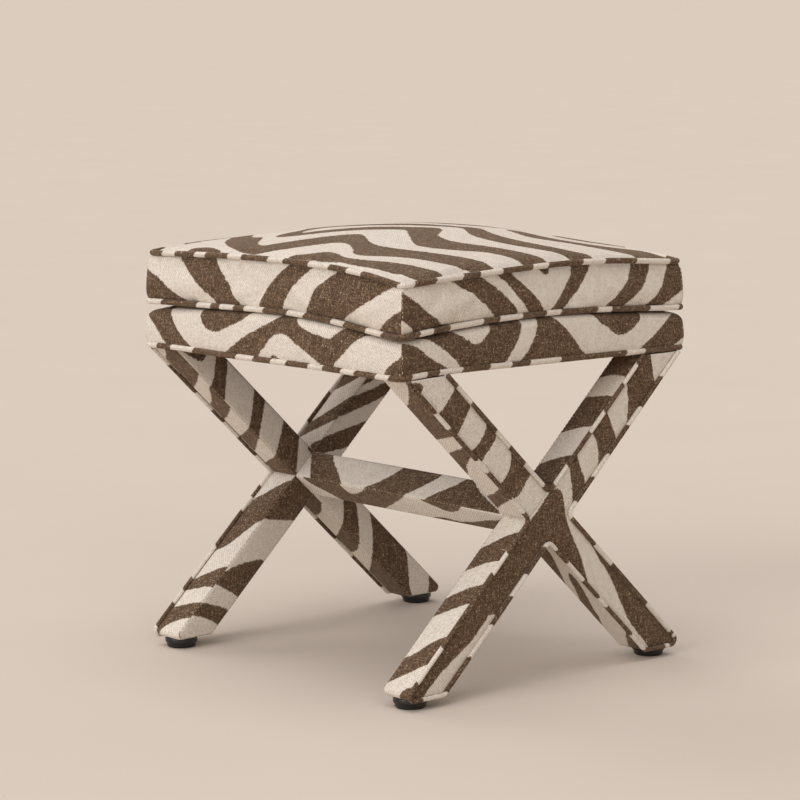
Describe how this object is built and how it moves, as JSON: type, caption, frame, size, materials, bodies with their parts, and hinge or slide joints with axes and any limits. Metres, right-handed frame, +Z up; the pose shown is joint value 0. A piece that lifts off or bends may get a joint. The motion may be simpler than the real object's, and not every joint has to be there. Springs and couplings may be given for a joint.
{
  "type": "upholstered x-frame stool",
  "caption": "Square upholstered stool on crossed-leg frames joined by a stretcher, with a loose box cushion and screw-in levelling glides, in a striped woven cloth.",
  "frame": {"origin": "centre of the footprint, on the floor", "axes": "+Z up, +Y from the near X frame to the far one along the stretcher, +X to the right of someone who faces the near frame"},
  "size_m": [0.47, 0.4742, 0.5294],
  "materials": {
    "striped_cloth": "matte",
    "deck_cloth": "matte",
    "dust_cover_cloth": "matte",
    "foam": "matte",
    "hardwood": "satin",
    "plywood": "satin",
    "zinced_steel": "satin",
    "black_plastic": "satin"
  },
  "bodies": {
    "stool_frame": {"deck_board": "plywood", "deck_foam": "foam", "deck_top_cloth": "deck_cloth", "deck_boxing_near": "striped_cloth", "deck_boxing_far": "striped_cloth", "deck_boxing_left": "striped_cloth", "deck_boxing_right": "striped_cloth", "deck_welt": "striped_cloth", "dust_cover": "dust_cover_cloth", "rail_near": "hardwood", "rail_far": "hardwood", "rail_left": "hardwood", "rail_right": "hardwood", "near_rising_leg": "hardwood", "near_falling_leg": "hardwood", "near_outer_panel": "striped_cloth", "near_inner_panel": "striped_cloth", "near_left_strip": "striped_cloth", "near_right_strip": "striped_cloth", "near_top_strip": "striped_cloth", "near_bottom_strip": "striped_cloth", "near_outer_welt": "striped_cloth", "near_top_welt": "striped_cloth", "far_rising_leg": "hardwood", "far_falling_leg": "hardwood", "far_outer_panel": "striped_cloth", "far_inner_panel": "striped_cloth", "far_left_strip": "striped_cloth", "far_right_strip": "striped_cloth", "far_top_strip": "striped_cloth", "far_bottom_strip": "striped_cloth", "far_outer_welt": "striped_cloth", "far_top_welt": "striped_cloth", "stretcher_bar": "hardwood", "stretcher_sleeve": "striped_cloth", "stretcher_bolt_near": "zinced_steel", "stretcher_bolt_far": "zinced_steel", "seat_bolt_near_left": "zinced_steel", "seat_bolt_near_right": "zinced_steel", "seat_bolt_far_left": "zinced_steel", "seat_bolt_far_right": "zinced_steel", "glide_insert_near_left": "zinced_steel", "glide_insert_near_right": "zinced_steel", "glide_insert_far_left": "zinced_steel", "glide_insert_far_right": "zinced_steel"},
    "cushion": {"cushion_foam": "foam", "cushion_top_panel": "striped_cloth", "cushion_bottom_panel": "striped_cloth", "cushion_boxing_near": "striped_cloth", "cushion_boxing_far": "striped_cloth", "cushion_boxing_left": "striped_cloth", "cushion_boxing_right": "striped_cloth", "cushion_top_welt": "striped_cloth", "cushion_bottom_welt": "striped_cloth"},
    "near_left_glide": {"glide_near_left": "black_plastic"},
    "near_right_glide": {"glide_near_right": "black_plastic"},
    "far_left_glide": {"glide_far_left": "black_plastic"},
    "far_right_glide": {"glide_far_right": "black_plastic"}
  },
  "joints": [
    {"name": "cushion_lift", "type": "slide", "parent": "stool_frame", "child": "cushion", "axis": [0, 0, 1], "range_m": [0, 0.12]},
    {"name": "near_left_glide_screw", "type": "slide", "parent": "stool_frame", "child": "near_left_glide", "axis": [0, 0, -1], "range_m": [0, 0.008]},
    {"name": "near_right_glide_screw", "type": "slide", "parent": "stool_frame", "child": "near_right_glide", "axis": [0, 0, -1], "range_m": [0, 0.008]},
    {"name": "far_left_glide_screw", "type": "slide", "parent": "stool_frame", "child": "far_left_glide", "axis": [0, 0, -1], "range_m": [0, 0.008]},
    {"name": "far_right_glide_screw", "type": "slide", "parent": "stool_frame", "child": "far_right_glide", "axis": [0, 0, -1], "range_m": [0, 0.008]}
  ]
}
